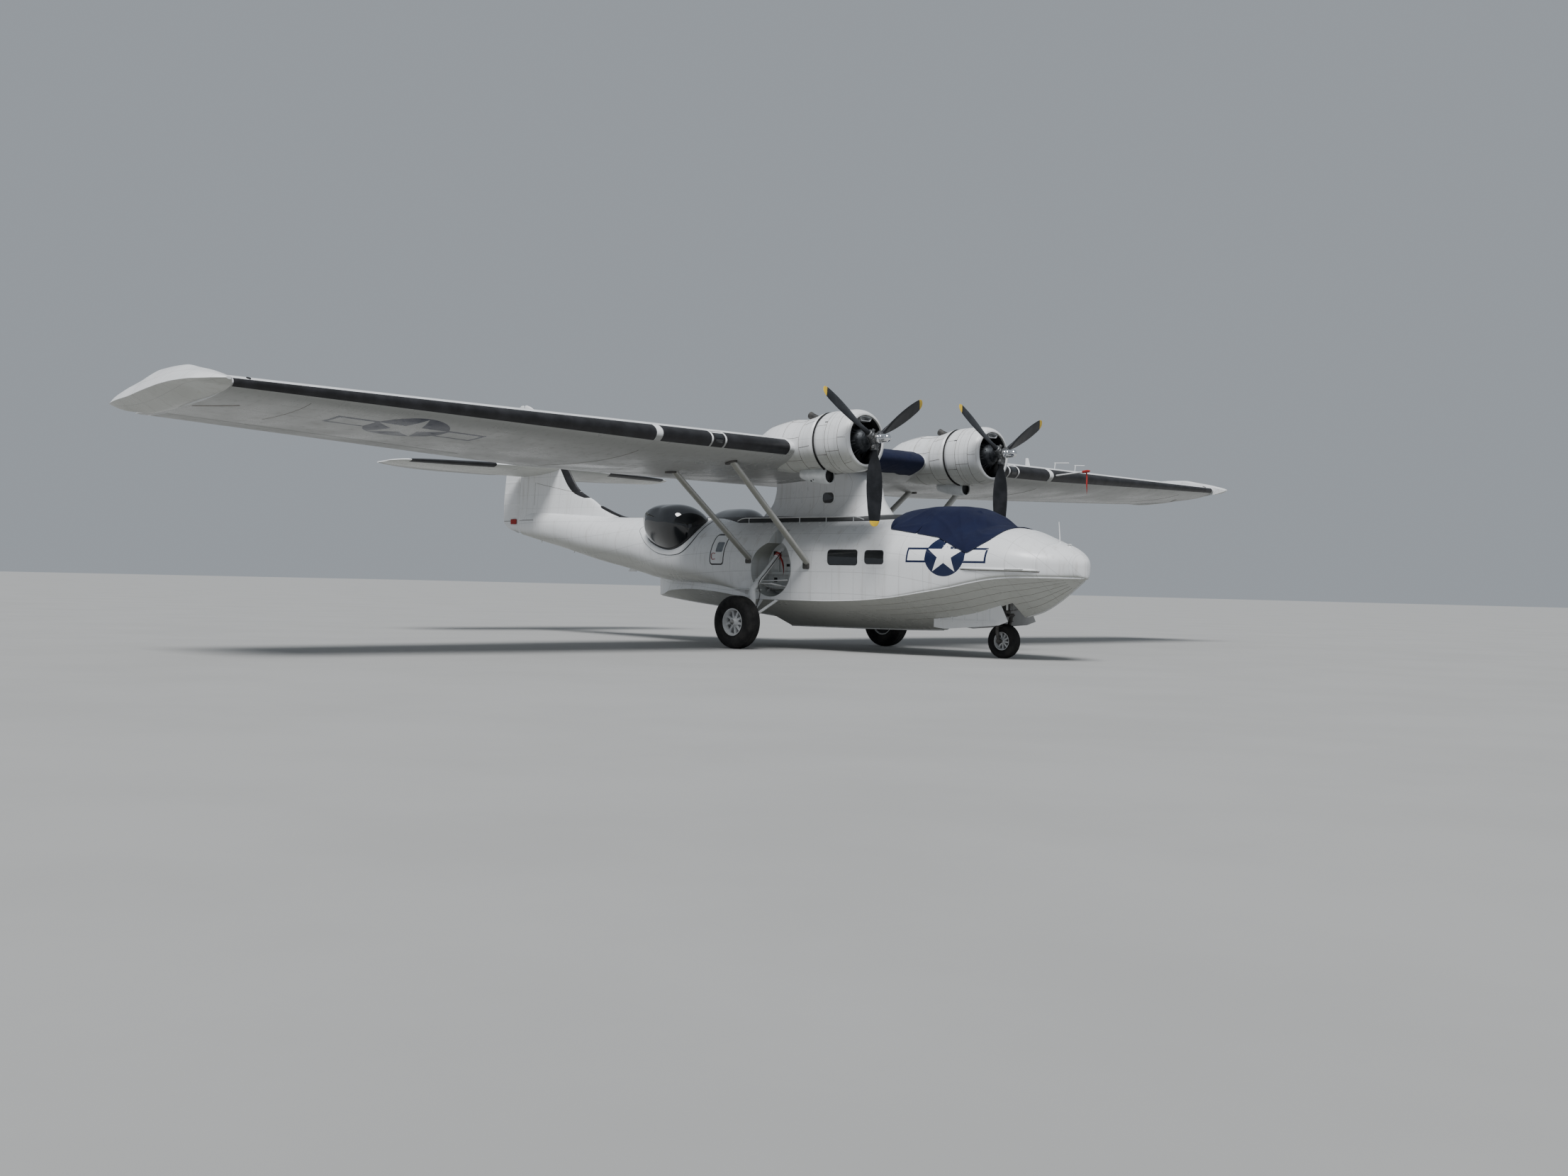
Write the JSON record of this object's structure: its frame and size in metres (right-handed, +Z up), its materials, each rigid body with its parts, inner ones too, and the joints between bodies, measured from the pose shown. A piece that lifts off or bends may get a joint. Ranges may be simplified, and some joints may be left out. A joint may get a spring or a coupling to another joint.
{
  "type": "twin-engine amphibious flying boat",
  "caption": "Amphibious flying boat parked on its wheels: stepped hull, pylon-mounted braced wing, two radial engines, wing-tip floats and side blisters.",
  "frame": {"origin": "on the ground, below the middle of the length and of the span", "axes": "+X towards the nose, +Y to port along the span, +Z up"},
  "size_m": [19.165, 31.7, 6.15],
  "materials": {
    "paint": "gloss",
    "propeller": "satin",
    "steel": "satin",
    "engine": "matte",
    "chrome": "polished",
    "wheel": "satin",
    "tyre": "matte",
    "canvas": "matte",
    "glazing": "gloss"
  },
  "bodies": {
    "airframe": {"nose_cap": "paint", "hull_bow": "paint", "hull_centre": "paint", "hull_after": "paint", "tail_boom": "paint", "wing_centre": "paint", "wing_right": "paint", "wing_left": "paint", "float_right": "paint", "float_left": "paint", "pylon": "paint", "strut_front_right": "paint", "strut_front_left": "paint", "strut_rear_right": "paint", "strut_rear_left": "paint", "cowl_right": "paint", "cowl_left": "paint", "engine_right": "engine", "engine_left": "engine", "nacelle_right": "paint", "nacelle_left": "paint", "oil_cooler_right": "paint", "oil_cooler_left": "paint", "exhaust_right": "steel", "exhaust_left": "steel", "fin": "paint", "tailplane_right": "paint", "tailplane_left": "paint", "main_leg_right": "paint", "main_leg_left": "paint", "nose_leg": "paint", "nose_door_right": "paint", "nose_door_left": "paint", "cockpit_roof": "paint", "cockpit_cover": "canvas", "wing_cover": "canvas", "blister_right": "glazing", "blister_left": "glazing", "bow_mast": "paint", "pitot_boom": "paint"},
    "propeller_right": {"propeller_right": "propeller", "propeller_dome_right": "chrome"},
    "propeller_left": {"propeller_left": "propeller", "propeller_dome_left": "chrome"},
    "main_wheel_right": {"main_wheel_right": "wheel", "main_tyre_right": "tyre"},
    "main_wheel_left": {"main_wheel_left": "wheel", "main_tyre_left": "tyre"},
    "nose_fork": {"nose_fork": "paint"},
    "nose_wheel": {"nose_wheel": "wheel", "nose_tyre": "tyre"},
    "rudder": {"rudder": "paint"},
    "elevators": {"elevator_right": "paint", "elevator_left": "paint"},
    "aileron_right": {"aileron_right": "paint"},
    "aileron_left": {"aileron_left": "paint"},
    "cabin_hatch": {"cabin_hatch": "paint"}
  },
  "joints": [
    {"name": "propeller_right_spin", "type": "hinge", "parent": "airframe", "child": "propeller_right", "pos_m": [5.7925, -2.165, 4.435], "axis": [0.9996, 0, 0.028], "continuous": true},
    {"name": "propeller_left_spin", "type": "hinge", "parent": "airframe", "child": "propeller_left", "pos_m": [5.7925, 2.165, 4.435], "axis": [0.9996, 0, 0.028], "continuous": true},
    {"name": "main_wheel_right_roll", "type": "hinge", "parent": "airframe", "child": "main_wheel_right", "pos_m": [2.2625, -2.51, 0.57834], "axis": [0, 1, 0], "continuous": true},
    {"name": "main_wheel_left_roll", "type": "hinge", "parent": "airframe", "child": "main_wheel_left", "pos_m": [2.2625, 2.51, 0.57834], "axis": [0, 1, 0], "continuous": true},
    {"name": "nose_steer", "type": "hinge", "parent": "airframe", "child": "nose_fork", "pos_m": [7.6125, 0, 0.93], "axis": [0, 0, 1], "range_deg": [-30, 30]},
    {"name": "nose_wheel_roll", "type": "hinge", "parent": "nose_fork", "child": "nose_wheel", "pos_m": [7.5825, 0, 0.35692], "axis": [0, 1, 0], "continuous": true},
    {"name": "rudder_turn", "type": "hinge", "parent": "airframe", "child": "rudder", "pos_m": [-8.8075, 0, 4.4], "axis": [0, 0, 1], "range_deg": [-20, 20]},
    {"name": "elevator_turn", "type": "hinge", "parent": "airframe", "child": "elevators", "pos_m": [-8.6475, 0, 4.2876], "axis": [0, 1, 0], "range_deg": [-20, 25]},
    {"name": "aileron_right_turn", "type": "hinge", "parent": "airframe", "child": "aileron_right", "pos_m": [0.88264, -11.9, 4.06277], "axis": [-0.0734, 0.9969, -0.0266], "range_deg": [-20, 20]},
    {"name": "aileron_left_turn", "type": "hinge", "parent": "airframe", "child": "aileron_left", "pos_m": [0.88264, 11.9, 4.06277], "axis": [0.0734, 0.9969, 0.0266], "range_deg": [-20, 20]},
    {"name": "cabin_hatch_swing", "type": "hinge", "parent": "airframe", "child": "cabin_hatch", "pos_m": [0.5225, -1.2312, 2.54], "axis": [-0.9993, 0.0367, 0], "range_deg": [0, 80]}
  ],
  "couplings": [
    {"joint": "aileron_left_turn", "follows": "aileron_right_turn", "ratio": -1}
  ]
}
